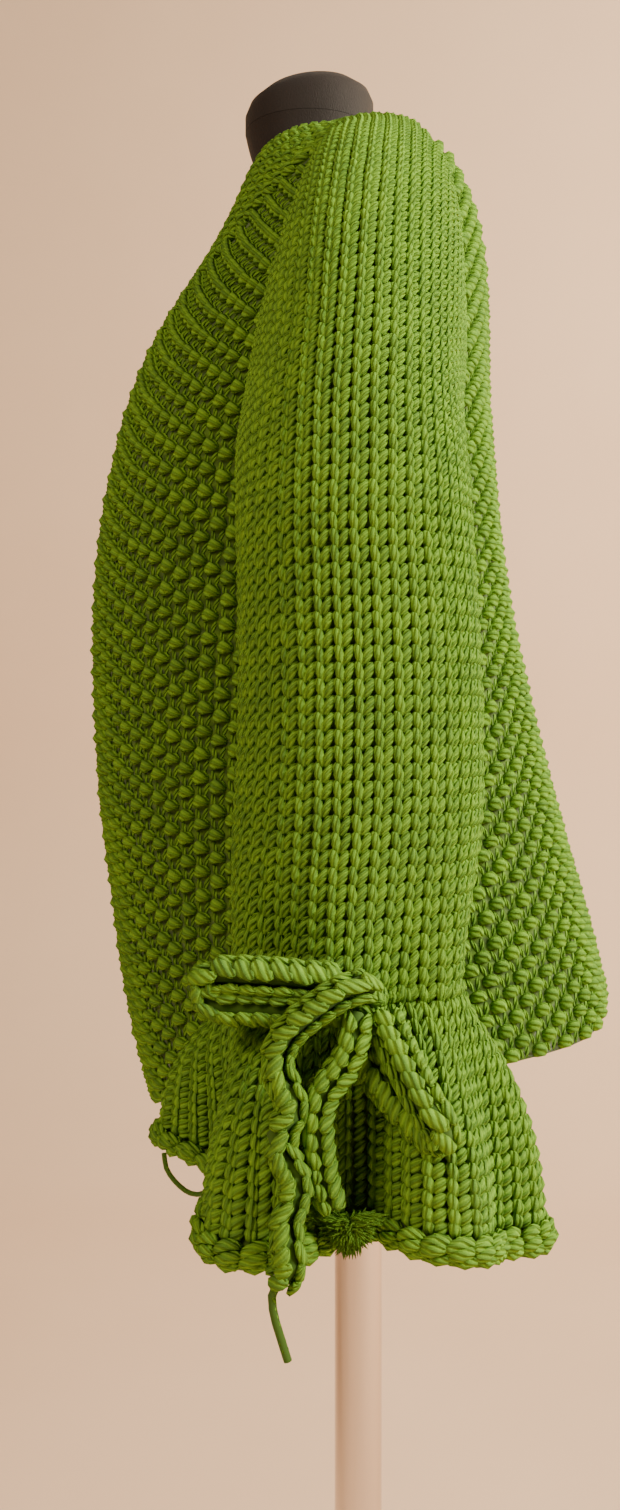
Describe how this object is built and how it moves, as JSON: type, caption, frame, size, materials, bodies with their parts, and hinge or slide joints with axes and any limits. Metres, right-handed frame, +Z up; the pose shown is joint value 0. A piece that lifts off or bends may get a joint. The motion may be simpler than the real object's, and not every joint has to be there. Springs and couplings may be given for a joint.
{
  "type": "cardigan on dress form",
  "caption": "Open-front raglan cardigan in very thick hand knitting, with drawstring ruffle cuffs, worn by a limbless dress form on a pole and round base.",
  "frame": {"origin": "centre of the round base's underside, on the floor, below the form's pole", "axes": "+Z up; the front of the cardigan faces -Y; +X is the wearer's left, the side that the picture shows"},
  "size_m": [0.862, 0.4052, 1.413],
  "materials": {
    "yarn": "matt, fuzzy, thick plied wool yarn in bright grass green",
    "form_cloth": "matt near-black jersey stretched over the form",
    "chrome": "polished"
  },
  "bodies": {
    "root": {"back": "yarn", "front_left": "yarn", "front_right": "yarn", "front_and_neck_band": "yarn", "sleeve_left": "yarn", "sleeve_right": "yarn", "cuff_left": "yarn", "cuff_right": "yarn", "bow_knot_left": "yarn", "bow_knot_right": "yarn", "bow_loop_front_left": "yarn", "bow_loop_front_right": "yarn", "bow_loop_hanging_left": "yarn", "bow_loop_hanging_right": "yarn", "tail_long_left": "yarn", "tail_long_right": "yarn", "tail_short_left": "yarn", "tail_short_right": "yarn", "tail_tuft_left": "yarn", "tail_tuft_right": "yarn", "yarn_end_left": "yarn", "yarn_end_right": "yarn", "yarn_loop_left": "yarn", "yarn_loop_right": "yarn", "form_torso": "form_cloth", "form_neck_cap": "form_cloth", "form_pole": "chrome", "form_base": "chrome"}
  },
  "joints": []
}
